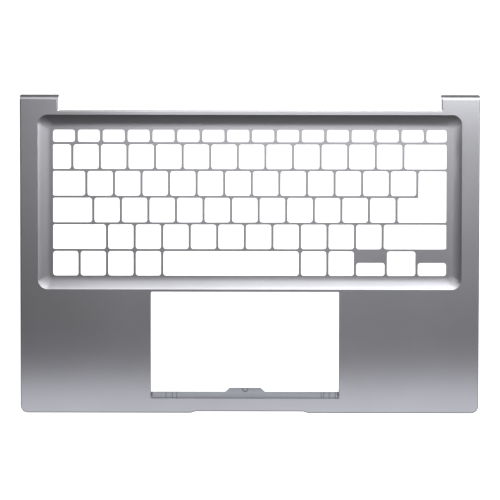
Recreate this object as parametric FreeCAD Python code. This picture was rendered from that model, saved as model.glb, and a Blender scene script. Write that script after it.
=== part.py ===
# Palm rest (upper base cover) of a 14-inch laptop, bare, as it is sold as a spare part.
# X runs across the width, +Y points to the rear (hinge) edge, +Z is up.
# The cover lies deck up on its rim: z = 0 is the rim's lower edge, and the origin is
# the middle of the bounding box in X and Y. All sizes are in millimetres.
import FreeCAD, Part
import math
import os

# Cover: plan
cover_width = 317.0
body_depth = 209.1            # front edge to the rear edge between the tabs
tab_width = 26.5
tab_length = 11.1
front_corner_radius = 5.0
tab_outer_radius = 1.2
tab_inner_radius = 0.5
tab_relief_radius = 0.6
finger_notch_flat = 74.6
finger_notch_slope = 3.2
finger_notch_depth = 1.05
finger_notch_radius = 1.5

# Cover: section
cover_height = 7.0
deck_thickness = 1.0
rim_thickness = 1.3
rim_step_width = 0.6
rim_step_height = 0.8
top_edge_radius = 1.0
tab_roll_radius = 4.1

# Keyboard tray
tray_side_margin = 12.3       # from the cover's side to the tray's lip
tray_from_rear = 3.1
tray_front_margin = 9.5       # from the front row of keys to the tray's lip
tray_sink = 1.8
tray_corner_radius = 6.8
tray_floor_corner_radius = 2.6
scoop_width = 8.6
scoop_section_count = 6

# Key openings
field_side_margin = 10.3      # from the tray's lip to the first key
field_from_rear = 13.2
field_key_count = 14.352      # width of the field in key pitches
row_pitch = 18.42
key_web = 1.6
row_web = 1.5
function_row_pitch = 10.2
function_key_depth = 8.5
function_field_count = 15.93   # width of the field in pitches of the function row
function_web = 2.0
key_radius = 1.9
field_edge_radius = 1.05
enter_inner_radius = 0.25
arrow_depth = 9.0

# Key widths of each row from left to right, in units of the row's pitch. The last key of
# a row takes what is left of the field; the two middle rows end at the Enter opening.
function_row = [1.0] * 15
number_row = [0.742] + [1.0] * 12
tab_row = [1.25] + [1.0] * 12
caps_row = [1.5] + [1.0] * 11
shift_row = [2.0] + [1.0] * 10
bottom_row = [1.0] * 4 + [5.0] + [1.0] * 2
arrow_column_count = 3

# Touchpad opening, between the tray and the strip along the front edge
pad_width = 130.1
pad_centre_x = -3.2
pad_from_tray = 1.55
pad_from_front = 10.1
pad_radius = 0.9
pad_chamfer = 0.3

# Ledge under the front edge of the touchpad opening
ledge_clearance = 0.15
ledge_flange_depth = 5.0
ledge_flange_thickness = 1.0
ledge_groove_width = 1.35
ledge_groove_drop = 1.5
ledge_land_depth = 3.05
ledge_land_drop = 0.7
ledge_floor_thickness = 0.8
ledge_web_thickness = 0.9
tongue_base = 27.7
tongue_top = 21.6
tongue_reach = 2.9
tongue_centre_x = -2.95
tongue_thickness = 1.2
tongue_rise = 0.25
tongue_pocket_radius = 1.85
tongue_pocket_reach = 2.7
tongue_pocket_depth = 0.6
left_steps = [(1.0, 0.75), (6.1, 0.2), (4.5, 0.45), (3.1, 0.1)]       # (length, drop)
right_steps = [(0.9, 0.75), (4.6, 0.15), (2.1, 0.5), (2.2, 0.2), (3.7, 0.4), (1.8, 0.15)]

# Ledge screws, in round bosses of the cover
ledge_screw_inset = 14.0
ledge_screw_count = 4
ledge_screw_from_edge = 3.1
ledge_boss_radius = 1.5
ledge_boss_clearance = 0.1
screw_head_radius = 1.9
screw_head_height = 0.7
screw_shank_radius = 0.75
screw_shank_length = 1.5

# Keyboard bosses on the underside of the tray
tray_boss_radius = 1.5
tray_boss_hole_radius = 0.6
tray_boss_hole_depth = 1.5
tray_boss_below_floor = 0.9
tray_boss_from_field = 4.6
tray_boss_column_count = 4
tray_boss_row_count = 2
tray_boss_end_inset = 16.0

# Touchpad bosses on the underside of the deck
pad_boss_radius = 2.0
pad_boss_hole_radius = 0.8
pad_boss_hole_depth = 2.0
pad_boss_height = 1.8
pad_boss_from_edge = 5.0
pad_boss_row_count = 2
pad_boss_end_inset = 9.0

# Moulded inner frame
frame_gap = 0.1
frame_band_width = 2.3
frame_band_height = 3.2
frame_from_rear = 94.85
frame_rib_width = 0.9
frame_rib_height = 1.4
frame_rib_row_count = 3
frame_rib_column_count = 3
frame_rib_from_pad = 9.5
frame_rib_from_tray = 2.0
frame_boss_radius = 2.6
frame_boss_height = 4.6
frame_boss_from_edge = 6.4
frame_boss_from_side = 66.5
frame_gusset_width = 1.2
magnet_length = 18.0
magnet_width = 4.2
magnet_thickness = 1.5
magnet_from_side = 36.5
magnet_from_edge = 6.6
magnet_clearance = 0.15
magnet_wall = 0.8

# Brass inserts of the frame bosses
insert_radius = 1.6
insert_bore_radius = 0.8
insert_length = 3.2

# Hinge plates and their threaded standoffs
plate_thickness = 1.2
plate_gap = 0.4
plate_rear_gap = 0.1          # from the rolled end of the deck's flat underside
plate_leg_width = 8.6
plate_leg_length = 36.0
plate_arm_width = 7.6
plate_corner_radius = 1.5
standoff_radius = 2.3
standoff_bore_radius = 1.05
standoff_height = 3.2
standoff_spacing_x = 14.0
standoff_spacing_y = 27.0

# Port cut-outs in the side walls: (distance of the centre from the rear edge, width, height)
left_notches = [(40.0, 13.4, 5.0), (58.0, 13.4, 5.0)]
right_notches = [(40.0, 15.4, 5.2), (60.0, 13.4, 5.0)]
notch_radius = 0.5
slot_from_rear = 76.0
slot_width = 9.2
slot_height = 3.4
slot_centre_z = 2.9
jack_from_rear = 74.0
jack_radius = 1.85

# Places worked out from the sizes above
half_width = cover_width / 2
front_y = -(body_depth + tab_length) / 2
rear_y = front_y + body_depth
tab_y = rear_y + tab_length
tab_inner_x = half_width - tab_width
deck_under_z = cover_height - deck_thickness
tray_width = cover_width - 2 * tray_side_margin
field_width = tray_width - 2 * field_side_margin
key_pitch = (field_width + key_web) / field_key_count
function_pitch = (field_width + function_web) / function_field_count
field_left_x = -field_width / 2
field_right_x = field_width / 2
field_rear_y = rear_y - field_from_rear
key_rows = (number_row, tab_row, caps_row, shift_row, bottom_row)
field_front_y = field_rear_y - function_row_pitch - len(key_rows) * row_pitch + row_web
tray_rear_y = rear_y - tray_from_rear
tray_front_y = field_front_y - tray_front_margin
tray_floor_z = cover_height - tray_sink
tray_under_z = tray_floor_z - deck_thickness
pad_left_x = pad_centre_x - pad_width / 2
pad_right_x = pad_centre_x + pad_width / 2
pad_rear_y = tray_front_y - pad_from_tray
pad_front_y = front_y + pad_from_front
above = 2.0                   # how far a cutting body runs past a face
edge_tolerance = 1e-4


def vec(x, y, z=0.0):
    return FreeCAD.Vector(x, y, z)


def rounded_wire(corners, radii, z):
    """Closed wire at height z through the corners, each rounded by its own radius."""
    count = len(corners)
    starts = []
    middles = []
    ends = []
    for i in range(count):
        corner = vec(*corners[i], z)
        back = vec(*corners[i - 1], z) - corner
        forward = vec(*corners[(i + 1) % count], z) - corner
        back.normalize()
        forward.normalize()
        half_angle = back.getAngle(forward) / 2
        bisector = back + forward
        bisector.normalize()
        radius = radii[i]
        reach = radius / math.tan(half_angle)
        starts.append(corner + back * reach)
        ends.append(corner + forward * reach)
        middles.append(corner + bisector * (radius / math.sin(half_angle) - radius))
    edges = []
    for i in range(count):
        if radii[i] > 0:
            edges.append(Part.Arc(starts[i], middles[i], ends[i]).toShape())
        edges.append(Part.LineSegment(ends[i], starts[(i + 1) % count]).toShape())
    return Part.Wire(edges)


def inset_corners(corners, distance):
    """The counter-clockwise polygon with every side moved inwards by the distance."""
    count = len(corners)
    result = []
    for i in range(count):
        normals = []
        for a, b in ((corners[i - 1], corners[i]), (corners[i], corners[(i + 1) % count])):
            length = math.hypot(b[0] - a[0], b[1] - a[1])
            normals.append(((a[1] - b[1]) / length, (b[0] - a[0]) / length))
        (ax, ay), (bx, by) = normals
        share = distance / (1 + ax * bx + ay * by)
        result.append((corners[i][0] + (ax + bx) * share, corners[i][1] + (ay + by) * share))
    return result


def prism(corners, radii, low, high):
    """Upright solid on a rounded polygon."""
    face = Part.Face(rounded_wire(corners, radii, low))
    return face.extrude(vec(0, 0, high - low))


def rectangle(left, right, front, rear):
    return [(left, front), (right, front), (right, rear), (left, rear)]


def block(left, right, front, rear, low, high):
    return Part.makeBox(right - left, rear - front, high - low, vec(left, front, low))


def cylinder(x, y, low, high, radius):
    return Part.makeCylinder(radius, high - low, vec(x, y, low))


def spread(low, high, count):
    """Evenly spaced places from low to high."""
    return [low + (high - low) * i / (count - 1) for i in range(count)]


# Cover

def outline():
    """Plan outline of the cover, counter-clockwise from the front left corner."""
    mouth = finger_notch_flat / 2 + finger_notch_slope
    flat = finger_notch_flat / 2
    notch_y = front_y + finger_notch_depth
    return [
        (-half_width, front_y), (-mouth, front_y), (-flat, notch_y), (flat, notch_y),
        (mouth, front_y), (half_width, front_y), (half_width, tab_y), (tab_inner_x, tab_y),
        (tab_inner_x, rear_y), (-tab_inner_x, rear_y), (-tab_inner_x, tab_y),
        (-half_width, tab_y),
    ]


def outline_radii(inset):
    """Radius of each outline corner once the outline is inset: outer corners tighten."""
    outer = [front_corner_radius, tab_outer_radius, tab_inner_radius]
    front, tab_outer, tab_inner = [max(radius - inset, 0.0) for radius in outer]
    notch = finger_notch_radius
    hollow = tab_inner_radius + inset
    return [front, notch, notch, notch, notch, front, tab_outer, tab_inner,
            hollow, hollow, tab_inner, tab_outer]


def roll_cutter(inset, top, radius):
    """What is outside the rolled rear edge of the tabs, at this inset and height."""
    rear = tab_y - inset
    corner = block(-half_width, half_width, rear - radius, rear + above, top - radius, top + above)
    roll = Part.makeCylinder(radius, cover_width + 2 * above,
                             vec(-half_width - above, rear - radius, top - radius), vec(1, 0, 0))
    return corner.cut(roll)


def outer_block():
    """The full block of the cover with its rounded top edge and rolled tab ends."""
    body = prism(outline(), outline_radii(0), 0, cover_height)
    rim_edges = []
    for edge in body.Edges:
        if min(vertex.Z for vertex in edge.Vertexes) > cover_height - edge_tolerance:
            rim_edges.append(edge)
    body = body.makeFillet(top_edge_radius, rim_edges)
    return body.cut(roll_cutter(0, cover_height, tab_roll_radius))


def hollow():
    """The space under the deck, with a wider step at the rim for the bottom cover."""
    corners = inset_corners(outline(), rim_thickness)
    space = prism(corners, outline_radii(rim_thickness), -above, deck_under_z)
    space = space.cut(roll_cutter(rim_thickness, deck_under_z, tab_roll_radius - rim_thickness))
    step_inset = rim_thickness - rim_step_width
    step = prism(inset_corners(outline(), step_inset), outline_radii(step_inset),
                 -above, rim_step_height)
    return space.fuse(step)


def tray_bowl(drop):
    """The sunk space of the tray: concave scooped sides that run tangent into the floor."""
    arc_radius = (scoop_width ** 2 + tray_sink ** 2) / (2 * tray_sink)
    edge_angle = math.asin(scoop_width / arc_radius)
    corners = rectangle(-tray_width / 2, tray_width / 2, tray_front_y, tray_rear_y)
    top = cover_height - drop
    wires = []
    for share in spread(0.0, 1.0, scoop_section_count):
        angle = edge_angle * (1 - share)
        inset = scoop_width - arc_radius * math.sin(angle)
        depth = tray_sink - arc_radius * (1 - math.cos(angle))
        radius = tray_corner_radius + (tray_floor_corner_radius - tray_corner_radius) * share
        wires.append(rounded_wire(inset_corners(corners, inset), [radius] * 4, top - depth))
    bowl = Part.makeLoft(wires, True, False)
    mouth = prism(corners, [tray_corner_radius] * 4, top, top + above / 4)
    return bowl.fuse(mouth)


def key_opening(left, right, front, rear, side_radius):
    """One key opening; side_radius rounds its corners at the sides of the key field."""
    left_radius = side_radius if left < field_left_x + key_web else key_radius
    right_radius = side_radius if right > field_right_x - key_web else key_radius
    radii = [left_radius, right_radius, right_radius, left_radius]
    return prism(rectangle(left, right, front, rear), radii,
                 tray_under_z - above, tray_floor_z + above)


def row_edges(widths, pitch=key_pitch, web=key_web):
    """Left and right edges of the keys of a row, from widths in pitches of that row."""
    edges = []
    left = field_left_x
    for width in widths:
        edges.append((left, left + width * pitch - web))
        left += width * pitch
    return edges, left


def enter_opening(row_rear):
    """The Enter opening spans two rows and is wider in the lower one."""
    upper_left = row_edges(tab_row)[1]
    lower_left = row_edges(caps_row)[1]
    lower_rear = row_rear - row_pitch
    front = lower_rear - row_pitch + row_web
    corners = [(lower_left, front), (field_right_x, front), (field_right_x, row_rear),
               (upper_left, row_rear), (upper_left, lower_rear), (lower_left, lower_rear)]
    radii = [key_radius, field_edge_radius, field_edge_radius, key_radius,
             enter_inner_radius, key_radius]
    return prism(corners, radii, tray_under_z - above, tray_floor_z + above)


def key_openings():
    """Every key opening of the field, row by row from the rear."""
    openings = []
    edges, rest = row_edges(function_row, function_pitch, function_web)
    edges.append((rest, field_right_x))
    for left, right in edges:
        openings.append(key_opening(left, right, field_rear_y - function_key_depth,
                                    field_rear_y, key_radius))
    key_depth = row_pitch - row_web
    rear = field_rear_y - function_row_pitch
    for row in key_rows:
        edges, rest = row_edges(row)
        if row is number_row or row is shift_row:
            edges.append((rest, field_right_x))
        if row is tab_row:
            openings.append(enter_opening(rear))
        side_radius = key_radius if row is bottom_row else field_edge_radius
        for left, right in edges:
            openings.append(key_opening(left, right, rear - key_depth, rear, side_radius))
        if row is bottom_row:
            openings += arrow_openings(rest, rear - key_depth)
        rear -= row_pitch
    return openings


def arrow_openings(left, front):
    """The arrow cluster: half-depth openings on both sides of a full one."""
    pitch = (field_right_x + key_web - left) / arrow_column_count
    openings = []
    for column in range(arrow_column_count):
        column_left = left + column * pitch
        outer = column in (0, arrow_column_count - 1)
        depth = arrow_depth if outer else row_pitch - row_web
        openings.append(key_opening(column_left, column_left + pitch - key_web,
                                    front, front + depth, key_radius))
    return openings


def pad_opening():
    """The touchpad opening through the deck, with a small chamfer at its top edge."""
    corners = rectangle(pad_left_x, pad_right_x, pad_front_y, pad_rear_y)
    radii = [pad_radius] * 4
    hole = prism(corners, radii, -above, cover_height + above)
    wide = inset_corners(corners, -pad_chamfer)
    low_wire = rounded_wire(corners, radii, cover_height - pad_chamfer)
    high_wire = rounded_wire(wide, [pad_radius + pad_chamfer] * 4, cover_height)
    return hole.fuse(Part.makeLoft([low_wire, high_wire], True, True))


def tray_boss_places():
    """Keyboard bosses around the key field, on the underside of the scoops."""
    left = field_left_x - tray_boss_from_field
    rear = field_rear_y + tray_boss_from_field
    front = field_front_y - tray_boss_from_field
    places = []
    for x in spread(field_left_x + tray_boss_end_inset, field_right_x - tray_boss_end_inset,
                    tray_boss_column_count):
        places += [(x, rear), (x, front)]
    for y in spread(field_front_y + tray_boss_end_inset, field_rear_y - tray_boss_end_inset,
                    tray_boss_row_count):
        places += [(left, y), (-left, y)]
    return places


def pad_boss_places():
    """Touchpad bosses on both sides of the opening."""
    left = pad_left_x - pad_boss_from_edge
    right = pad_right_x + pad_boss_from_edge
    rows = spread(pad_front_y + pad_boss_end_inset, pad_rear_y - pad_boss_end_inset,
                  pad_boss_row_count)
    return [(x, y) for y in rows for x in (left, right)]


def ledge_screw_places():
    """Bosses of the ledge screws, in a row under the front strip."""
    y = pad_front_y - ledge_screw_from_edge
    columns = spread(pad_left_x + ledge_screw_inset, pad_right_x - ledge_screw_inset,
                     ledge_screw_count)
    return [(x, y) for x in columns]


def add_bosses(cover):
    """Fuse the round bosses of the underside to the cover and drill them."""
    inside = deck_thickness / 2
    tray_low = tray_under_z - tray_boss_below_floor
    pad_low = deck_under_z - pad_boss_height
    ledge_low = deck_under_z - ledge_flange_thickness
    groups = [
        (tray_boss_places(), tray_low, tray_under_z + inside, tray_boss_radius,
         tray_boss_hole_radius, tray_boss_hole_depth),
        (pad_boss_places(), pad_low, deck_under_z + inside, pad_boss_radius,
         pad_boss_hole_radius, pad_boss_hole_depth),
        (ledge_screw_places(), ledge_low, deck_under_z + inside, ledge_boss_radius,
         screw_shank_radius, screw_shank_length),
    ]
    bosses = []
    holes = []
    for places, low, high, radius, hole_radius, hole_depth in groups:
        for x, y in places:
            bosses.append(cylinder(x, y, low, high, radius))
            holes.append(cylinder(x, y, low - above, low + hole_depth, hole_radius))
    return cover.fuse(bosses).cut(holes)


def wall_notch(side, from_rear, width, height):
    """Port cut-out in a side wall, open at the rim; side is -1 for left, 1 for right."""
    y = rear_y - from_rear
    inner = half_width - rim_thickness - above
    outer = half_width + above
    corners = [(y - width / 2, -above), (y + width / 2, -above),
               (y + width / 2, height), (y - width / 2, height)]
    wire = rounded_wire(corners, [0, 0, notch_radius, notch_radius], 0)
    wire.rotate(vec(0, 0, 0), vec(1, 1, 1), 120)
    wire.translate(vec(side * inner, 0, 0))
    return Part.Face(wire).extrude(vec(side * (outer - inner), 0, 0))


def wall_cuts():
    """All port cut-outs of the two side walls."""
    cuts = [wall_notch(-1, *notch) for notch in left_notches]
    cuts += [wall_notch(1, *notch) for notch in right_notches]
    depth = rim_thickness + 2 * above
    left_start = vec(-half_width - above, rear_y - jack_from_rear, slot_centre_z)
    cuts.append(Part.makeCylinder(jack_radius, depth, left_start, vec(1, 0, 0)))
    start_x = half_width - rim_thickness - above
    reach = (slot_width - slot_height) / 2
    slot_y = rear_y - slot_from_rear
    middle = Part.makeBox(depth, 2 * reach, slot_height,
                          vec(start_x, slot_y - reach, slot_centre_z - slot_height / 2))
    ends = []
    for sign in (-1, 1):
        start = vec(start_x, slot_y + sign * reach, slot_centre_z)
        ends.append(Part.makeCylinder(slot_height / 2, depth, start, vec(1, 0, 0)))
    cuts.append(middle.fuse(ends))
    return cuts


def tab_reliefs():
    """Small round reliefs in the inner corners of the two tabs."""
    return [cylinder(side * tab_inner_x, rear_y, -above, cover_height + above, tab_relief_radius)
            for side in (-1, 1)]


def hinge_mouths():
    """Openings in the inner side walls of the two tabs, for the arms of the hinges."""
    depth = rim_thickness + 2 * above
    left = [-tab_inner_x - rim_thickness - above, tab_inner_x - above]
    return [block(x, x + depth, rear_y, tab_y - rim_thickness, -above, deck_under_z)
            for x in left]


def make_cover():
    """The cover itself, one machined and bead-blasted aluminium piece."""
    cover = outer_block().cut(hollow())
    cover = cover.fuse(tray_bowl(deck_thickness))
    cover = cover.cut(tray_bowl(0))
    cover = add_bosses(cover)
    cuts = key_openings() + [pad_opening()] + wall_cuts() + tab_reliefs() + hinge_mouths()
    cover = cover.cut(cuts)
    return cover.removeSplitter()


# Ledge

def ledge_levels():
    """Heights of the ledge: groove, land and tongue tops."""
    groove_z = deck_under_z - ledge_groove_drop
    land_z = deck_under_z - ledge_land_drop
    return groove_z, land_z


def ledge_bar():
    """Bent section of the ledge along the whole opening: flange, groove, raised land."""
    groove_z, land_z = ledge_levels()
    flange_front = pad_front_y - ledge_flange_depth
    web_front = pad_front_y - ledge_clearance - ledge_web_thickness
    land_front = pad_front_y + ledge_groove_width
    land_rear = land_front + ledge_land_depth
    low = groove_z - ledge_floor_thickness
    under_flange = deck_under_z - ledge_flange_thickness
    section = [
        (flange_front, deck_under_z), (flange_front, under_flange), (web_front, under_flange),
        (web_front, low), (land_rear, low), (land_rear, land_z), (land_front, land_z),
        (land_front, groove_z), (pad_front_y - ledge_clearance, groove_z),
        (pad_front_y - ledge_clearance, deck_under_z),
    ]
    points = [vec(pad_left_x, y, z) for y, z in section]
    points.append(points[0])
    return Part.Face(Part.makePolygon(points)).extrude(vec(pad_width, 0, 0))


def ledge_step_cuts():
    """Shallow steps milled across the land at both ends of the ledge."""
    land_z = ledge_levels()[1]
    front = pad_front_y + ledge_groove_width - ledge_clearance
    rear = pad_front_y + ledge_groove_width + ledge_land_depth + above
    cuts = []
    left = pad_left_x
    for length, drop in left_steps:
        cuts.append(block(left, left + length, front, rear, land_z - drop, land_z + above))
        left += length
    right = pad_right_x
    for length, drop in right_steps:
        cuts.append(block(right - length, right, front, rear, land_z - drop, land_z + above))
        right -= length
    return cuts


def ledge_tongue():
    """Trapezoid tongue on the rear edge of the land, with a half-round pocket."""
    top = ledge_levels()[1] + tongue_rise
    rear = pad_front_y + ledge_groove_width + ledge_land_depth
    corners = [
        (tongue_centre_x - tongue_base / 2, rear - ledge_land_depth / 2),
        (tongue_centre_x + tongue_base / 2, rear - ledge_land_depth / 2),
        (tongue_centre_x + tongue_base / 2, rear),
        (tongue_centre_x + tongue_top / 2, rear + tongue_reach),
        (tongue_centre_x - tongue_top / 2, rear + tongue_reach),
        (tongue_centre_x - tongue_base / 2, rear),
    ]
    radii = [0, 0, 0, tongue_rise, tongue_rise, 0]
    tongue = prism(corners, radii, top - tongue_thickness, top)
    mouth_y = rear + tongue_reach
    centre_y = mouth_y - tongue_pocket_reach + tongue_pocket_radius
    pocket = cylinder(tongue_centre_x, centre_y, top - tongue_pocket_depth, top + above,
                      tongue_pocket_radius)
    slot = block(tongue_centre_x - tongue_pocket_radius, tongue_centre_x + tongue_pocket_radius,
                 centre_y, mouth_y + above, top - tongue_pocket_depth, top + above)
    return tongue, pocket.fuse(slot)


def make_ledge():
    """Bare metal ledge that carries the front edge of the touchpad."""
    tongue, pocket = ledge_tongue()
    ledge = ledge_bar().cut(ledge_step_cuts())
    ledge = ledge.fuse(tongue).cut(pocket)
    radius = ledge_boss_radius + ledge_boss_clearance
    holes = [cylinder(x, y, -above, cover_height, radius) for x, y in ledge_screw_places()]
    return ledge.cut(holes).removeSplitter()


def make_ledge_screws():
    """Flat-headed screws that clamp the ledge's flange to the cover's bosses."""
    head_top = deck_under_z - ledge_flange_thickness
    head_low = head_top - screw_head_height
    screws = []
    for x, y in ledge_screw_places():
        head = cylinder(x, y, head_low, head_top, screw_head_radius)
        shank = cylinder(x, y, head_top, head_top + screw_shank_length, screw_shank_radius)
        screws.append(head.fuse(shank))
    return Part.makeCompound(screws)


# Moulded inner frame

def frame_boss_places():
    """Bosses for the bottom cover's screws: two front pairs and a pair at the sides."""
    side = half_width - frame_boss_from_edge
    front = front_y + frame_boss_from_edge
    rear = rear_y - frame_from_rear - frame_boss_radius
    places = []
    for x, y in ((side, front), (half_width - frame_boss_from_side, front), (side, rear)):
        places += [(-x, y), (x, y)]
    return places


def frame_band():
    """U-shaped band that follows the inside of the rim at the front and sides."""
    outer_inset = rim_thickness + frame_gap
    inner_inset = outer_inset + frame_band_width
    low = deck_under_z - frame_band_height
    outer = prism(inset_corners(outline(), outer_inset), outline_radii(outer_inset),
                  low, deck_under_z)
    inner = prism(inset_corners(outline(), inner_inset), outline_radii(inner_inset),
                  low - above, deck_under_z + above)
    behind = block(-half_width, half_width, rear_y - frame_from_rear, tab_y + above,
                   0, cover_height)
    return outer.cut([inner, behind])


def palm_area(side):
    """Left, right, front and rear limits of the ribbed area beside the touchpad."""
    wall_x = half_width - rim_thickness - frame_gap - frame_band_width
    front = front_y + rim_thickness + frame_gap + frame_band_width
    rear = tray_front_y - frame_rib_from_tray
    if side < 0:
        return -wall_x, pad_left_x - frame_rib_from_pad, front, rear
    return pad_right_x + frame_rib_from_pad, wall_x, front, rear


def frame_ribs(side):
    """Square grid of ribs moulded onto the underside of one palm area."""
    left, right, front, rear = palm_area(side)
    low = deck_under_z - frame_rib_height
    half = frame_rib_width / 2
    overlap = frame_band_width / 2
    inner_x = right if side < 0 else left
    columns = spread(inner_x, left if side < 0 else right, frame_rib_column_count + 1)[:-1]
    rows = spread(rear - half, front, frame_rib_row_count + 1)[:-1]
    start = left - overlap if side < 0 else left - half
    end = right + half if side < 0 else right + overlap
    ribs = [block(x - half, x + half, front - overlap, rear, low, deck_under_z) for x in columns]
    ribs += [block(start, end, y - half, y + half, low, deck_under_z) for y in rows]
    return ribs


def frame_gussets():
    """Webs that tie each boss to the band beside it."""
    half = frame_gusset_width / 2
    low = deck_under_z - frame_band_height
    band = rim_thickness + frame_gap + frame_band_width / 2
    webs = []
    for x, y in frame_boss_places():
        if y < front_y + 2 * frame_boss_from_edge:
            webs.append(block(x - half, x + half, front_y + band, y, low, deck_under_z))
        else:
            left, right = sorted((x, math.copysign(half_width - band, x)))
            webs.append(block(left, right, y - half, y + half, low, deck_under_z))
    return webs


def magnet_boxes(grow, low):
    """Boxes of the two lid magnets, grown sideways, from height low up to the deck."""
    boxes = []
    for side in (-1, 1):
        x = side * (half_width - magnet_from_side)
        y = front_y + magnet_from_edge
        boxes.append(block(x - magnet_length / 2 - grow, x + magnet_length / 2 + grow,
                           y - magnet_width / 2 - grow, y + magnet_width / 2 + grow,
                           low, deck_under_z))
    return boxes


def make_frame():
    """Moulded inner frame: band, ribs, magnet pockets and screw bosses in one piece."""
    boss_low = deck_under_z - frame_boss_height
    frame = frame_band()
    additions = frame_ribs(-1) + frame_ribs(1) + frame_gussets()
    additions += magnet_boxes(magnet_clearance + magnet_wall, deck_under_z - magnet_thickness)
    additions += [cylinder(x, y, boss_low, deck_under_z, frame_boss_radius)
                  for x, y in frame_boss_places()]
    frame = frame.fuse(additions)
    cuts = magnet_boxes(magnet_clearance, boss_low)
    cuts += [cylinder(x, y, boss_low - above, boss_low + insert_length, insert_radius)
             for x, y in frame_boss_places()]
    return frame.cut(cuts).removeSplitter()


def make_magnets():
    """Two bar magnets that hold the lid shut, bonded to the underside of the deck."""
    return Part.makeCompound(magnet_boxes(0, deck_under_z - magnet_thickness))


def make_inserts():
    """Brass inserts of the frame bosses, bored at the tapping size."""
    low = deck_under_z - frame_boss_height
    inserts = []
    for x, y in frame_boss_places():
        body = cylinder(x, y, low, low + insert_length, insert_radius)
        bore = cylinder(x, y, low - above, low + insert_length + above, insert_bore_radius)
        inserts.append(body.cut(bore))
    return Part.makeCompound(inserts)


# Hinge plates

def plate_corner(side):
    """Outer rear corner of a hinge plate, inside the walls of its tab."""
    return (side * (half_width - rim_thickness - plate_gap),
            tab_y - tab_roll_radius - plate_rear_gap)


def standoff_places(side):
    """Three standoffs on the hinge plate: two across the tab and one along the side."""
    corner_x, corner_y = plate_corner(side)
    x = corner_x - side * plate_leg_width / 2
    y = corner_y - plate_arm_width / 2
    return [(x, y), (x - side * standoff_spacing_x, y), (x, y - standoff_spacing_y)]


def make_hinge_plate(side):
    """L-shaped steel plate under a tab, bonded to the deck, for the display hinge."""
    corner_x, corner_y = plate_corner(side)
    arm_end = side * (tab_inner_x + rim_thickness + plate_gap)
    arm_front = corner_y - plate_arm_width
    leg_x = corner_x - side * plate_leg_width
    leg_front = corner_y - plate_leg_length
    corners = [(corner_x, corner_y), (arm_end, corner_y), (arm_end, arm_front),
               (leg_x, arm_front), (leg_x, leg_front), (corner_x, leg_front)]
    if side < 0:
        corners.reverse()
    return prism(corners, [plate_corner_radius] * len(corners),
                 deck_under_z - plate_thickness, deck_under_z)


def make_standoffs():
    """Threaded steel standoffs pressed against both hinge plates."""
    high = deck_under_z - plate_thickness
    low = high - standoff_height
    standoffs = []
    for side in (-1, 1):
        for x, y in standoff_places(side):
            body = cylinder(x, y, low, high, standoff_radius)
            bore = cylinder(x, y, low - above, high + above, standoff_bore_radius)
            standoffs.append(body.cut(bore))
    return Part.makeCompound(standoffs)


def main():
    os.makedirs("parts", exist_ok=True)
    nodes = {
        "top_cover": make_cover(),
        "touchpad_ledge": make_ledge(),
        "ledge_screws": make_ledge_screws(),
        "inner_frame": make_frame(),
        "frame_inserts": make_inserts(),
        "lid_magnets": make_magnets(),
        "hinge_plate_left": make_hinge_plate(-1),
        "hinge_plate_right": make_hinge_plate(1),
        "hinge_standoffs": make_standoffs(),
    }
    for name, shape in nodes.items():
        shape.exportStep("parts/%s.step" % name)
        print(name, "solids", len(shape.Solids), "valid", shape.isValid(),
              "volume %.1f mm3" % shape.Volume, "box", shape.BoundBox)


main()
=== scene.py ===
"""Looks of a bare laptop palm rest: bead-blasted aluminium cover seen from straight above."""
import math

import bmesh
import bpy
from mathutils import Matrix, Vector


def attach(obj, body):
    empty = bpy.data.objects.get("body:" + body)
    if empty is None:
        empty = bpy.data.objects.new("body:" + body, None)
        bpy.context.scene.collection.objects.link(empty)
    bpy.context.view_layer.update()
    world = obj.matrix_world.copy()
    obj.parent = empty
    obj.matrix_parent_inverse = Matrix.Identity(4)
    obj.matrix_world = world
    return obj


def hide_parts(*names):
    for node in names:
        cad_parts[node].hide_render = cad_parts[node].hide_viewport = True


MM = 0.001

# Copies of the CAD shapes: faces within FLAT_ANGLE are joined, edges past SHARP_ANGLE are
# rounded, and EVEN_WEIGHT says how much large faces count in the even shading
MERGE_DISTANCE = 0.001 * MM
FLAT_ANGLE = math.radians(0.2)
SHARP_ANGLE = math.radians(15.0)
EVEN_WEIGHT = 50
RING_STEPS = 32

# Widths of the small rounds on each piece's edges
COVER_EDGE = 0.18 * MM
LEDGE_EDGE = 0.22 * MM
FRAME_EDGE = 0.15 * MM
MAGNET_EDGE = 0.2 * MM
PLATE_EDGE = 0.12 * MM

# Ledge screws: head height, shank radius and broken rim, then the cross recess's arm length
# and half width as shares of the head's radius, and its depth as a share of the head's height
SCREW_HEAD = 0.7 * MM
SCREW_SHANK = 0.75 * MM
SCREW_RIM = 0.12 * MM
RECESS_ARM = 0.56
RECESS_HALF = 0.15
RECESS_DEPTH = 0.6

# Slopes (upward share of the facing direction) between which the painted shade on steep faces
# fades out
SHADE_SLOPES = (0.68, 0.87)
LEDGE_SHADE_SLOPES = (0.82, 0.985)

# Painted highlight: a bright line on the chamfer at the front of the touchpad opening
HIGHLIGHT_PLACE = -100.15 * MM
HIGHLIGHT_HALF_WIDTH = 0.5 * MM

# Ledge inside that opening: painted shade in dark lines at the steps across both its ends,
# which run through to its underside, and round its pocket, and the heights between
# which the painted shade on its end bars' floors and the plain tone of its groove fade out
END_SHADE_LINES = [x * MM for x in (-57.95, -53.45, -50.35, 49.75, 51.55, 55.25, 59.55)]
END_SHADE_HALF_WIDTH = 0.3 * MM
POCKET_CENTRE = (-2.95 * MM, -93.55 * MM, 0.0)
POCKET_RADIUS = 1.85 * MM
POCKET_SHADE_HALF_WIDTH = 0.35 * MM
BAR_SHADE_HEIGHTS = (4.57 * MM, 4.6 * MM)
GROOVE_HEIGHTS = (4.51 * MM, 4.54 * MM)

# Coarse bands of drawn metal, as a share of the scale of its fine lines
BAND_SCALE = 0.12

# Floor: radius in metres, and its glow towards the camera and in mirrored views
FLOOR_RADIUS = 30.0
FLOOR_SEEN = 0.95
FLOOR_MIRRORED = 0.65
ROOM_GLOW = 0.05

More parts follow.
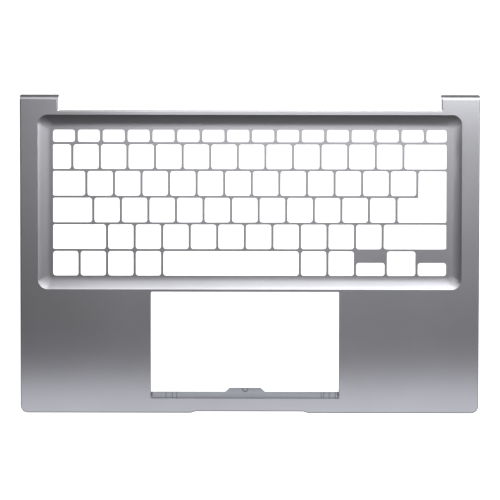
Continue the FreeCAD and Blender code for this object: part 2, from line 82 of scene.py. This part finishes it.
# Soft boxes: name, place and aim in metres, width, height, watts and colour
WHITE = (1.0, 1.0, 1.0)
LAMPS = (
    ("right_box", (0.74, 0.62, 0.87), (0.0, 0.0, 0.0), 0.9, 0.9, 9.7, WHITE),
    ("rear_box", (0.0, 0.87, 0.966), (0.0, 0.0, 0.0), 0.7, 0.7, 3.85, WHITE),
    ("overhead_box", (0.0, 0.315, 1.26), (0.0, 0.0, 0.0), 0.6, 0.6, 1.3, WHITE),
    ("front_card", (0.0, -0.1485, 0.087), (0.0, -0.1485, 0.0), 0.6, 0.103, 0.18,
     (0.95, 0.955, 1.0)),
    ("rear_card", (0.1, 0.18, 0.107), (0.1, 0.18, 0.0), 0.4, 0.14, 0.145, WHITE),
)

# Camera: place in metres, small turns in degrees, and lens and sensor width in millimetres
CAMERA_PLACE = (0.00292, 0.03077, 1.007)
CAMERA_TILT = -1.600
CAMERA_PAN = 0.153
CAMERA_ROLL = 0.092
CAMERA_LENS = 104.39
CAMERA_SENSOR = 36.0

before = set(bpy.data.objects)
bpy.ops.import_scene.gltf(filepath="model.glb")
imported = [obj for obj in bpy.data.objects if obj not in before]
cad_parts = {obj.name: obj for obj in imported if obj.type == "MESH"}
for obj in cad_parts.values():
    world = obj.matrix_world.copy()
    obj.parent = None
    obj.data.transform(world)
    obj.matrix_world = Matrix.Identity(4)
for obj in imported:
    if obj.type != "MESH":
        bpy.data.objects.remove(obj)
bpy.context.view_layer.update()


# Node building

def add_node(tree, kind, inputs=None, **settings):
    """New node with its settings, and its inputs set to a value or joined to a socket."""
    node = tree.nodes.new(kind)
    for name, value in settings.items():
        setattr(node, name, value)
    for name, value in (inputs or {}).items():
        if isinstance(value, bpy.types.NodeSocket):
            tree.links.new(value, node.inputs[name])
        else:
            node.inputs[name].default_value = value
    return node


def new_group(name, inputs, outputs):
    """Empty shader group with named inputs (kind, value) and outputs (kind)."""
    group = bpy.data.node_groups.new(name, "ShaderNodeTree")
    for label, (kind, value) in inputs.items():
        socket = group.interface.new_socket(name=label, in_out="INPUT", socket_type=kind)
        socket.default_value = value
    for label, kind in outputs.items():
        group.interface.new_socket(name=label, in_out="OUTPUT", socket_type=kind)
    return group, group.nodes.new("NodeGroupInput"), group.nodes.new("NodeGroupOutput")


def blasted_grain_group():
    """Fine pits of a blasted or moulded surface, over soft clouds of a slightly other tone."""
    group, given, result = new_group(
        "Blasted grain",
        {"Grain size": ("NodeSocketFloat", 0.2 * MM), "Cloud size": ("NodeSocketFloat", 30 * MM)},
        {"Pits": "NodeSocketFloat", "Clouds": "NodeSocketFloat"})
    place = add_node(group, "ShaderNodeTexCoord").outputs["Object"]
    grain_scale = add_node(group, "ShaderNodeMath", {0: 1.0, 1: given.outputs["Grain size"]},
                           operation="DIVIDE")
    cloud_scale = add_node(group, "ShaderNodeMath", {0: 1.0, 1: given.outputs["Cloud size"]},
                           operation="DIVIDE")
    pits = add_node(group, "ShaderNodeTexNoise",
                    {"Vector": place, "Scale": grain_scale.outputs[0], "Detail": 2.0})
    clouds = add_node(group, "ShaderNodeTexNoise",
                      {"Vector": place, "Scale": cloud_scale.outputs[0], "Detail": 3.0})
    group.links.new(pits.outputs["Fac"], result.inputs["Pits"])
    group.links.new(clouds.outputs["Fac"], result.inputs["Clouds"])
    return group


def drawn_lines_group():
    """Fine parallel lines of a brushed, milled or turned surface, stretched by a vector."""
    group, given, result = new_group(
        "Drawn lines",
        {"Stretch": ("NodeSocketVector", (1.0, 1.0, 1.0)),
         "Line width": ("NodeSocketFloat", 0.3 * MM)},
        {"Lines": "NodeSocketFloat", "Bands": "NodeSocketFloat"})
    place = add_node(group, "ShaderNodeTexCoord").outputs["Object"]
    stretched = add_node(group, "ShaderNodeVectorMath",
                         {0: place, 1: given.outputs["Stretch"]}, operation="MULTIPLY")
    scale = add_node(group, "ShaderNodeMath", {0: 1.0, 1: given.outputs["Line width"]},
                     operation="DIVIDE")
    coarse = add_node(group, "ShaderNodeMath", {0: scale.outputs[0], 1: BAND_SCALE},
                      operation="MULTIPLY")
    lines = add_node(group, "ShaderNodeTexNoise",
                     {"Vector": stretched.outputs[0], "Scale": scale.outputs[0], "Detail": 3.0})
    bands = add_node(group, "ShaderNodeTexNoise",
                     {"Vector": stretched.outputs[0], "Scale": coarse.outputs[0], "Detail": 1.0})
    group.links.new(lines.outputs["Fac"], result.inputs["Lines"])
    group.links.new(bands.outputs["Fac"], result.inputs["Bands"])
    return group


def steep_shade_group():
    """Mask of steep faces for painted shade: walls, cut edges and steep parts of rounds."""
    group, given, result = new_group(
        "Steep shade",
        {"Full slope": ("NodeSocketFloat", SHADE_SLOPES[0]),
         "No slope": ("NodeSocketFloat", SHADE_SLOPES[1])},
        {"Steep": "NodeSocketFloat"})
    facing = add_node(group, "ShaderNodeTexCoord").outputs["Normal"]
    parts = add_node(group, "ShaderNodeSeparateXYZ", {"Vector": facing})
    level = add_node(group, "ShaderNodeMath", {0: parts.outputs["Z"]}, operation="ABSOLUTE")
    steep = add_node(group, "ShaderNodeMapRange",
                     {"Value": level.outputs[0], "From Min": given.outputs["Full slope"],
                      "From Max": given.outputs["No slope"], "To Min": 1.0, "To Max": 0.0},
                     interpolation_type="SMOOTHSTEP")
    group.links.new(steep.outputs["Result"], result.inputs["Steep"])
    return group


def low_places_group():
    """Mask of what lies below a height: grooves, pockets and the floors of steps."""
    group, given, result = new_group(
        "Low places",
        {"Full height": ("NodeSocketFloat", 0.0), "No height": ("NodeSocketFloat", 1.0)},
        {"Low": "NodeSocketFloat"})
    place = add_node(group, "ShaderNodeTexCoord").outputs["Object"]
    parts = add_node(group, "ShaderNodeSeparateXYZ", {"Vector": place})
    low = add_node(group, "ShaderNodeMapRange",
                   {"Value": parts.outputs["Z"], "From Min": given.outputs["Full height"],
                    "From Max": given.outputs["No height"], "To Min": 1.0, "To Max": 0.0})
    group.links.new(low.outputs["Result"], result.inputs["Low"])
    return group


def put_out_line(group, reach, middle, half_width, result):
    """Put out a mask that is full where the reach is the middle and fades out beside it."""
    past = add_node(group, "ShaderNodeMath", {0: reach, 1: middle}, operation="SUBTRACT")
    away = add_node(group, "ShaderNodeMath", {0: past.outputs[0]}, operation="ABSOLUTE")
    line = add_node(group, "ShaderNodeMapRange",
                    {"Value": away.outputs[0], "From Min": 0.0, "From Max": half_width,
                     "To Min": 1.0, "To Max": 0.0})
    group.links.new(line.outputs["Result"], result.inputs["Line"])


def straight_line_group():
    """Mask of a fine straight line, square to a direction and at a distance from the origin."""
    group, given, result = new_group(
        "Straight line",
        {"Direction": ("NodeSocketVector", (1.0, 0.0, 0.0)),
         "Distance": ("NodeSocketFloat", 0.0), "Half width": ("NodeSocketFloat", 0.2 * MM)},
        {"Line": "NodeSocketFloat"})
    place = add_node(group, "ShaderNodeTexCoord").outputs["Object"]
    along = add_node(group, "ShaderNodeVectorMath",
                     {0: place, 1: given.outputs["Direction"]}, operation="DOT_PRODUCT")
    put_out_line(group, along.outputs["Value"], given.outputs["Distance"],
                 given.outputs["Half width"], result)
    return group


def round_line_group():
    """Mask of a fine round line about an upright axis through a centre."""
    group, given, result = new_group(
        "Round line",
        {"Centre": ("NodeSocketVector", (0.0, 0.0, 0.0)),
         "Radius": ("NodeSocketFloat", 1.0 * MM), "Half width": ("NodeSocketFloat", 0.2 * MM)},
        {"Line": "NodeSocketFloat"})
    place = add_node(group, "ShaderNodeTexCoord").outputs["Object"]
    flat = add_node(group, "ShaderNodeVectorMath", {0: place, 1: (1.0, 1.0, 0.0)},
                    operation="MULTIPLY")
    reach = add_node(group, "ShaderNodeVectorMath",
                     {0: flat.outputs[0], 1: given.outputs["Centre"]}, operation="DISTANCE")
    put_out_line(group, reach.outputs["Value"], given.outputs["Radius"],
                 given.outputs["Half width"], result)
    return group


blasted_grain = blasted_grain_group()
drawn_lines = drawn_lines_group()
steep_shade = steep_shade_group()
low_places = low_places_group()
straight_line = straight_line_group()
round_line = round_line_group()


def ranged(tree, value, low, high, start=0.3, end=0.7):
    """The socket's values from start to end spread over low to high."""
    node = add_node(tree, "ShaderNodeMapRange",
                    {"Value": value, "From Min": start, "From Max": end,
                     "To Min": low, "To Max": high})
    return node.outputs["Result"]


def mixed(tree, share, first, second):
    """Mix of two colours, each a socket or an (r, g, b) value, by a share socket."""
    node = tree.nodes.new("ShaderNodeMix")
    node.data_type = "RGBA"
    tree.links.new(share, node.inputs["Factor"])
    for label, colour in (("A", first), ("B", second)):
        socket = next(item for item in node.inputs
                      if item.name == label and item.type == "RGBA")
        if isinstance(colour, bpy.types.NodeSocket):
            tree.links.new(colour, socket)
        else:
            socket.default_value = (*colour, 1.0)
    return next(item for item in node.outputs if item.type == "RGBA")


def placed(tree, effect, values):
    """An effect group in the material with its own values."""
    node = add_node(tree, "ShaderNodeGroup", node_tree=effect)
    for label, value in values.items():
        node.inputs[label].default_value = value
    return node


def finish_material(name, metallic, effect, values, tones, roughness, relief, steep_shade_tone=None,
                    slopes=SHADE_SLOPES, low_tones=(), shade_lines=(), chamfer_highlight=None):
    """Material whose colour, roughness and bump follow an effect group.

    effect is the group, values its inputs, tones its dark and light colour, roughness its
    lowest and highest value and relief the depth of its bump in metres. steep_shade_tone is the
    colour of painted shade on walls, cut edges and the steep part of rounds, and fades out
    between the two slopes. Each of low_tones is a colour, painted shade or a plain tone, and
    the heights between which it fades out, each of shade_lines is a line group and its values,
    drawn in the same painted shade, and chamfer_highlight is the values and the colour of a
    painted highlight, a straight line drawn on steep faces alone.
    """
    material = bpy.data.materials.new(name)
    material.use_nodes = True
    tree = material.node_tree
    shader = tree.nodes["Principled BSDF"]
    shader.inputs["Metallic"].default_value = metallic
    group = placed(tree, effect, values)
    fine, broad = group.outputs[0], group.outputs[1]
    colour = mixed(tree, ranged(tree, broad, 0.0, 1.0), *tones)
    # Low places take painted shade or a plain tone
    for tone, heights in low_tones:
        low = placed(tree, low_places, {"Full height": heights[0], "No height": heights[1]})
        colour = mixed(tree, low.outputs["Low"], colour, tone)
    # Painted shade lines, in the same dark colour as the steep faces
    for line_group, line_values in shade_lines:
        line = placed(tree, line_group, line_values)
        colour = mixed(tree, line.outputs["Line"], colour, steep_shade_tone)
    # Painted shade on steep faces: walls, cut edges and the steep part of rounds
    if steep_shade_tone:
        steep = placed(tree, steep_shade, {"Full slope": slopes[0], "No slope": slopes[1]})
        colour = mixed(tree, steep.outputs["Steep"], colour, steep_shade_tone)
    # Painted highlight: a straight bright line on steep faces alone
    if chamfer_highlight:
        line_values, highlight_tone = chamfer_highlight
        line = placed(tree, straight_line, line_values)
        share = add_node(tree, "ShaderNodeMath",
                         {0: line.outputs["Line"], 1: steep.outputs["Steep"]},
                         operation="MULTIPLY")
        colour = mixed(tree, share.outputs[0], colour, highlight_tone)
    tree.links.new(colour, shader.inputs["Base Color"])
    tree.links.new(ranged(tree, fine, *roughness), shader.inputs["Roughness"])
    bump = add_node(tree, "ShaderNodeBump", {"Height": fine, "Distance": relief})
    tree.links.new(bump.outputs["Normal"], shader.inputs["Normal"])
    return material


# Painted shade: dark lines at the steps across the ledge's ends and round its pocket
ledge_shade_lines = [(straight_line, {"Distance": place, "Half width": END_SHADE_HALF_WIDTH})
               for place in END_SHADE_LINES]
ledge_shade_lines.append((round_line, {"Centre": POCKET_CENTRE, "Radius": POCKET_RADIUS,
                                 "Half width": POCKET_SHADE_HALF_WIDTH}))

finishes = {
    "anodised_aluminium": finish_material(
        "anodised_aluminium", 1.0, blasted_grain,
        {"Grain size": 0.25 * MM, "Cloud size": 45 * MM},
        ((0.485, 0.487, 0.517), (0.515, 0.517, 0.549)), (0.33, 0.39), 0.003 * MM,
        # Painted shade on steep faces
        steep_shade_tone=(0.12, 0.12, 0.128),
        # Painted highlight on the chamfer at the front of the touchpad opening
        chamfer_highlight=({"Direction": (0.0, 1.0, 0.0), "Distance": HIGHLIGHT_PLACE,
                      "Half width": HIGHLIGHT_HALF_WIDTH}, (0.95, 0.95, 0.97))),
    "bare_metal": finish_material(
        "bare_metal", 1.0, drawn_lines,
        {"Stretch": (0.06, 1.0, 1.0), "Line width": 0.5 * MM},
        ((0.36, 0.375, 0.40), (0.44, 0.455, 0.48)), (0.32, 0.42), 0.01 * MM,
        # Painted shade: near-black on the ledge's steep faces and its lines
        steep_shade_tone=(0.03, 0.032, 0.036), slopes=LEDGE_SHADE_SLOPES,
        # Painted shade on the floors of the ledge's end bars; its groove keeps a plain ledge tone
        low_tones=(((0.08, 0.082, 0.09), BAR_SHADE_HEIGHTS), ((0.4, 0.415, 0.45), GROOVE_HEIGHTS)),
        shade_lines=ledge_shade_lines),
    "screw_steel": finish_material(
        "screw_steel", 1.0, drawn_lines,
        {"Stretch": (1.0, 1.0, 0.1), "Line width": 0.3 * MM},
        ((0.26, 0.26, 0.27), (0.36, 0.36, 0.36)), (0.3, 0.4), 0.01 * MM),
    "moulded_plastic": finish_material(
        "moulded_plastic", 0.0, blasted_grain,
        {"Grain size": 0.4 * MM, "Cloud size": 20 * MM},
        ((0.035, 0.035, 0.038), (0.055, 0.055, 0.06)), (0.5, 0.62), 0.03 * MM),
    "brass": finish_material(
        "brass", 1.0, drawn_lines,
        {"Stretch": (0.1, 0.1, 1.0), "Line width": 0.2 * MM},
        ((0.62, 0.47, 0.22), (0.76, 0.60, 0.32)), (0.22, 0.34), 0.01 * MM),
    "magnet_nickel": finish_material(
        "magnet_nickel", 1.0, blasted_grain,
        {"Grain size": 0.5 * MM, "Cloud size": 6 * MM},
        ((0.58, 0.57, 0.54), (0.68, 0.67, 0.64)), (0.15, 0.24), 0.002 * MM),
    "plate_steel": finish_material(
        "plate_steel", 1.0, drawn_lines,
        {"Stretch": (1.0, 0.04, 1.0), "Line width": 0.25 * MM},
        ((0.48, 0.49, 0.50), (0.60, 0.61, 0.62)), (0.28, 0.4), 0.006 * MM),
}


# Pieces

def merged_copy(node_name):
    """The CAD node's shape as a bmesh of joined faces, its flat parts in one face each."""
    shape = bmesh.new()
    shape.from_mesh(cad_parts[node_name].data)
    bmesh.ops.remove_doubles(shape, verts=shape.verts, dist=MERGE_DISTANCE)
    bmesh.ops.dissolve_limit(shape, angle_limit=FLAT_ANGLE, verts=shape.verts,
                             edges=shape.edges)
    return shape


def solid_boxes(node_name):
    """Lowest and highest corner of each separate solid of a CAD node."""
    shape = merged_copy(node_name)
    waiting = set(shape.verts)
    boxes = []
    while waiting:
        reached = [waiting.pop()]
        for vert in reached:
            for edge in vert.link_edges:
                other = edge.other_vert(vert)
                if other in waiting:
                    waiting.remove(other)
                    reached.append(other)
        corners = list(zip(*(vert.co for vert in reached)))
        boxes.append((Vector(map(min, corners)), Vector(map(max, corners))))
    shape.free()
    return boxes


def finish_piece(name, shape, slot, node_name):
    """Object of the shape that stands for a CAD node, in the finish of a material slot."""
    mesh = bpy.data.meshes.new(name)
    shape.to_mesh(mesh)
    shape.free()
    mesh.materials.append(finishes[slot])
    mesh.shade_smooth()
    piece = bpy.data.objects.new(name, mesh)
    bpy.context.scene.collection.objects.link(piece)
    even = piece.modifiers.new("even shading", "WEIGHTED_NORMAL")
    even.weight = EVEN_WEIGHT
    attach(piece, "root")
    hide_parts(node_name)
    return piece


def softened_piece(name, node_name, slot, edge_width):
    """Copy of a CAD node whose sharp edges are broken by a small round."""
    shape = merged_copy(node_name)
    sharp = [edge for edge in shape.edges if edge.calc_face_angle(0.0) > SHARP_ANGLE]
    bmesh.ops.bevel(shape, geom=sharp, offset=edge_width, offset_type="OFFSET",
                    affect="EDGES", segments=2, profile=0.5, material=-1, clamp_overlap=True)
    return finish_piece(name, shape, slot, node_name)


def spun(shape, outline, centre):
    """Ring made by turning a closed outline of (radius, height) points about a vertical axis."""
    verts = [shape.verts.new((centre.x + radius, centre.y, height))
             for radius, height in outline]
    edges = [shape.edges.new((verts[i - 1], verts[i])) for i in range(len(verts))]
    bmesh.ops.spin(shape, geom=verts + edges, cent=(centre.x, centre.y, 0.0),
                   axis=(0.0, 0.0, 1.0), angle=math.tau, steps=RING_STEPS, use_merge=True)


def threaded_sleeves(name, node_name, slot, bore, thread_depth, thread_pitch, chamfer):
    """Round sleeves with chamfered ends and a threaded bore, one for each CAD sleeve."""
    shape = bmesh.new()
    for low, high in solid_boxes(node_name):
        radius = (high.x - low.x) / 2
        outline = [(radius, low.z + chamfer), (radius, high.z - chamfer),
                   (radius - chamfer, high.z), (bore + thread_depth, high.z)]
        turns = int((high.z - low.z - 2 * chamfer) / thread_pitch)
        start = high.z - thread_depth
        for turn in range(turns):
            outline.append((bore, start - turn * thread_pitch))
            outline.append((bore + thread_depth, start - (turn + 0.5) * thread_pitch))
        outline.append((bore, start - turns * thread_pitch))
        outline += [(bore + thread_depth, low.z), (radius - chamfer, low.z)]
        spun(shape, outline, (low + high) / 2)
    bmesh.ops.recalc_face_normals(shape, faces=shape.faces)
    return finish_piece(name, shape, slot, node_name)


def cross_recess_screws(name, node_name, slot):
    """Flat-headed screws with a cross recess, head down, one for each CAD screw."""
    shape = bmesh.new()
    for low, high in solid_boxes(node_name):
        centre = (low + high) / 2
        add_screw_head(shape, centre, low.z, (high.x - low.x) / 2)
        shank = bmesh.ops.create_cone(
            shape, cap_ends=True, segments=RING_STEPS, radius1=SCREW_SHANK, radius2=SCREW_SHANK,
            depth=high.z - low.z - SCREW_HEAD / 2)
        bmesh.ops.translate(shape, verts=shank["verts"],
                            vec=(centre.x, centre.y, (high.z + low.z + SCREW_HEAD / 2) / 2))
    bmesh.ops.recalc_face_normals(shape, faces=shape.faces)
    return finish_piece(name, shape, slot, node_name)


def add_screw_head(shape, centre, face_z, radius):
    """One screw head whose lower face, at face_z, has a cross recess and a broken rim."""
    arm = radius * RECESS_ARM
    half = radius * RECESS_HALF
    corners = [(arm, -half), (arm, half), (half, half), (half, arm), (-half, arm),
               (-half, half), (-arm, half), (-arm, -half), (-half, -half), (-half, -arm),
               (half, -arm), (half, -half)]
    cross = [shape.verts.new((centre.x + x, centre.y + y, face_z)) for x, y in corners]
    cross_edges = [shape.edges.new((cross[i - 1], cross[i])) for i in range(len(cross))]
    rim = bmesh.ops.create_circle(shape, segments=RING_STEPS, radius=radius - SCREW_RIM)
    bmesh.ops.translate(shape, verts=rim["verts"], vec=(centre.x, centre.y, face_z))
    rim_edges = list({edge for vert in rim["verts"] for edge in vert.link_edges})
    bmesh.ops.bridge_loops(shape, edges=cross_edges + rim_edges)
    walls = bmesh.ops.extrude_edge_only(shape, edges=cross_edges)
    floor_verts = [item for item in walls["geom"] if isinstance(item, bmesh.types.BMVert)]
    bmesh.ops.translate(shape, verts=floor_verts, vec=(0.0, 0.0, SCREW_HEAD * RECESS_DEPTH))
    floor_edges = [item for item in walls["geom"] if isinstance(item, bmesh.types.BMEdge)
                   and all(vert in floor_verts for vert in item.verts)]
    bmesh.ops.contextual_create(shape, geom=floor_edges)
    edges = rim_edges
    for grown, height in ((radius, face_z + SCREW_RIM), (radius, face_z + SCREW_HEAD)):
        side = bmesh.ops.extrude_edge_only(shape, edges=edges)
        verts = [item for item in side["geom"] if isinstance(item, bmesh.types.BMVert)]
        edges = [item for item in side["geom"] if isinstance(item, bmesh.types.BMEdge)
                 and all(vert in verts for vert in item.verts)]
        for vert in verts:
            out = Vector((vert.co.x - centre.x, vert.co.y - centre.y)).normalized() * grown
            vert.co = (centre.x + out.x, centre.y + out.y, height)
    bmesh.ops.contextual_create(shape, geom=edges)


softened_piece("cover_shell", "top_cover", "anodised_aluminium", COVER_EDGE)
softened_piece("ledge_strip", "touchpad_ledge", "bare_metal", LEDGE_EDGE)
softened_piece("frame_moulding", "inner_frame", "moulded_plastic", FRAME_EDGE)
softened_piece("magnet_bars", "lid_magnets", "magnet_nickel", MAGNET_EDGE)
softened_piece("hinge_steel_left", "hinge_plate_left", "plate_steel", PLATE_EDGE)
softened_piece("hinge_steel_right", "hinge_plate_right", "plate_steel", PLATE_EDGE)
cross_recess_screws("ledge_screw_set", "ledge_screws", "screw_steel")
threaded_sleeves("insert_set", "frame_inserts", "brass", bore=0.8 * MM, thread_depth=0.2 * MM,
                 thread_pitch=0.4 * MM, chamfer=0.15 * MM)
threaded_sleeves("standoff_set", "hinge_standoffs", "plate_steel", bore=1.05 * MM,
                 thread_depth=0.25 * MM, thread_pitch=0.45 * MM, chamfer=0.2 * MM)


# Stage

def make_floor():
    """Wide pale floor that the rim lies on; white to the eye, and it takes the shadow."""
    shape = bmesh.new()
    bmesh.ops.create_circle(shape, cap_ends=True, segments=96, radius=FLOOR_RADIUS)
    mesh = bpy.data.meshes.new("floor")
    shape.to_mesh(mesh)
    shape.free()
    floor = bpy.data.objects.new("floor", mesh)
    bpy.context.scene.collection.objects.link(floor)
    material = bpy.data.materials.new("floor_white")
    material.use_nodes = True
    tree = material.node_tree
    shader = tree.nodes["Principled BSDF"]
    shader.inputs["Base Color"].default_value = (0.8, 0.8, 0.8, 1.0)
    shader.inputs["Roughness"].default_value = 0.9
    shader.inputs["Emission Color"].default_value = (1.0, 1.0, 1.0, 1.0)
    rays = add_node(tree, "ShaderNodeLightPath")
    mirrored = add_node(tree, "ShaderNodeMath", {0: rays.outputs["Is Glossy Ray"],
                                                 1: rays.outputs["Is Transmission Ray"]},
                        operation="MAXIMUM")
    mirrored_glow = add_node(tree, "ShaderNodeMath",
                             {0: mirrored.outputs[0], 1: FLOOR_MIRRORED},
                             operation="MULTIPLY")
    glow = add_node(tree, "ShaderNodeMath", {0: rays.outputs["Is Camera Ray"], 1: FLOOR_SEEN,
                                             2: mirrored_glow.outputs[0]},
                    operation="MULTIPLY_ADD")
    tree.links.new(glow.outputs[0], shader.inputs["Emission Strength"])
    mesh.materials.append(material)


def add_lamp(name, place, aim, width, height, watts, colour):
    """Soft box of the given size, turned from its place towards a point, not seen itself."""
    light = bpy.data.lights.new(name, "AREA")
    light.shape = "RECTANGLE"
    light.size = width
    light.size_y = height
    light.energy = watts
    light.color = colour
    lamp = bpy.data.objects.new(name, light)
    lamp.location = place
    lamp.rotation_mode = "QUATERNION"
    lamp.rotation_quaternion = (Vector(aim) - Vector(place)).to_track_quat("-Z", "Y")
    lamp.visible_camera = False
    bpy.context.scene.collection.objects.link(lamp)


def add_room():
    """Faint even light from all sides."""
    world = bpy.data.worlds.new("studio")
    bpy.context.scene.world = world
    world.use_nodes = True
    background = world.node_tree.nodes["Background"]
    background.inputs["Color"].default_value = (*WHITE, 1.0)
    background.inputs["Strength"].default_value = ROOM_GLOW


def add_camera():
    """Camera straight above the cover, turned a little as the photo's camera was."""
    camera = bpy.data.objects.new("camera", bpy.data.cameras.new("camera"))
    camera.data.lens = CAMERA_LENS
    camera.data.sensor_width = CAMERA_SENSOR
    camera.matrix_world = (Matrix.Translation(Vector(CAMERA_PLACE))
                           @ Matrix.Rotation(math.radians(CAMERA_TILT), 4, "X")
                           @ Matrix.Rotation(math.radians(CAMERA_PAN), 4, "Y")
                           @ Matrix.Rotation(math.radians(CAMERA_ROLL), 4, "Z"))
    bpy.context.scene.collection.objects.link(camera)
    bpy.context.scene.camera = camera


make_floor()
for lamp in LAMPS:
    add_lamp(*lamp)
add_room()
add_camera()
bpy.context.scene.view_settings.view_transform = "Standard"
